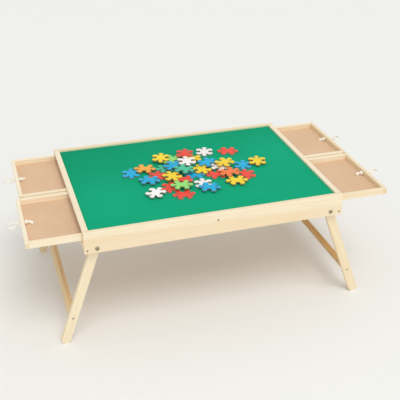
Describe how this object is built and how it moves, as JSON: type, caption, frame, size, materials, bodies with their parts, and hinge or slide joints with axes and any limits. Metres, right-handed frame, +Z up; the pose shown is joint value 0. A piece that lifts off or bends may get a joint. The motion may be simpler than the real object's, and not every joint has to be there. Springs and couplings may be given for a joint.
{
  "type": "jigsaw puzzle storage table",
  "caption": "Low wooden jigsaw table case with a sunk green felt board, shallow drawers that slide out at the ends and leg frames that fold flat under it.",
  "frame": {"origin": "on the floor under the middle of the case", "axes": "+X along the case to the right, +Y to the back, +Z up"},
  "size_m": [1.1232, 0.5702, 0.3673],
  "materials": {
    "pine": "clear satin",
    "hardboard": "bare hardboard",
    "felt": "green felt",
    "steel": "zinc plated",
    "tape": "white cotton tape",
    "blue_board": "painted board",
    "green_board": "painted board",
    "orange_board": "painted board",
    "red_board": "painted board",
    "teal_board": "painted board",
    "white_board": "painted board",
    "yellow_board": "painted board"
  },
  "bodies": {
    "case": {"front_apron": "pine", "back_apron": "pine", "left_top_rail": "pine", "right_top_rail": "pine", "left_lower_rail": "pine", "right_lower_rail": "pine", "playing_board": "hardboard", "felt_sheet": "felt", "centre_partition": "pine", "left_drawer_divider": "pine", "right_drawer_divider": "pine", "drawer_runners": "pine", "apron_screws": "steel", "pivot_bolts": "steel", "pivot_washers": "steel", "pivot_nuts": "steel"},
    "front_left_drawer": {"front_left_outer_end": "pine", "front_left_inner_end": "pine", "front_left_front_side": "pine", "front_left_back_side": "pine", "front_left_bottom": "hardboard", "front_left_pull_loop": "tape", "front_left_pull_knot": "tape"},
    "back_left_drawer": {"back_left_outer_end": "pine", "back_left_inner_end": "pine", "back_left_front_side": "pine", "back_left_back_side": "pine", "back_left_bottom": "hardboard", "back_left_pull_loop": "tape", "back_left_pull_knot": "tape"},
    "front_right_drawer": {"front_right_outer_end": "pine", "front_right_inner_end": "pine", "front_right_front_side": "pine", "front_right_back_side": "pine", "front_right_bottom": "hardboard", "front_right_pull_loop": "tape", "front_right_pull_knot": "tape"},
    "back_right_drawer": {"back_right_outer_end": "pine", "back_right_inner_end": "pine", "back_right_front_side": "pine", "back_right_back_side": "pine", "back_right_bottom": "hardboard", "back_right_pull_loop": "tape", "back_right_pull_knot": "tape"},
    "left_leg_frame": {"left_front_leg": "pine", "left_back_leg": "pine", "left_stretcher": "pine", "left_leg_screws": "steel"},
    "right_leg_frame": {"right_front_leg": "pine", "right_back_leg": "pine", "right_stretcher": "pine", "right_leg_screws": "steel"},
    "jigsaw_pieces": {"blue_pieces": "blue_board", "green_pieces": "green_board", "orange_pieces": "orange_board", "red_pieces": "red_board", "teal_pieces": "teal_board", "white_pieces": "white_board", "yellow_pieces": "yellow_board"}
  },
  "joints": [
    {"name": "front_left_drawer_slide", "type": "slide", "parent": "case", "child": "front_left_drawer", "axis": [-1, 0, 0], "range_m": [-0.15, 0.136]},
    {"name": "back_left_drawer_slide", "type": "slide", "parent": "case", "child": "back_left_drawer", "axis": [-1, 0, 0], "range_m": [-0.138, 0.148]},
    {"name": "front_right_drawer_slide", "type": "slide", "parent": "case", "child": "front_right_drawer", "axis": [1, 0, 0], "range_m": [-0.15, 0.136]},
    {"name": "back_right_drawer_slide", "type": "slide", "parent": "case", "child": "back_right_drawer", "axis": [1, 0, 0], "range_m": [-0.15, 0.136]},
    {"name": "left_leg_fold", "type": "hinge", "parent": "case", "child": "left_leg_frame", "pos_m": [-0.34, 0, 0.30427], "axis": [0, -1, 0], "range_deg": [0, 109.6]},
    {"name": "right_leg_fold", "type": "hinge", "parent": "case", "child": "right_leg_frame", "pos_m": [0.34, 0, 0.30427], "axis": [0, 1, 0], "range_deg": [0, 109.6]},
    {"name": "pieces_lift", "type": "slide", "parent": "case", "child": "jigsaw_pieces", "axis": [0, 0, 1], "range_m": [0, 0.04]}
  ]
}
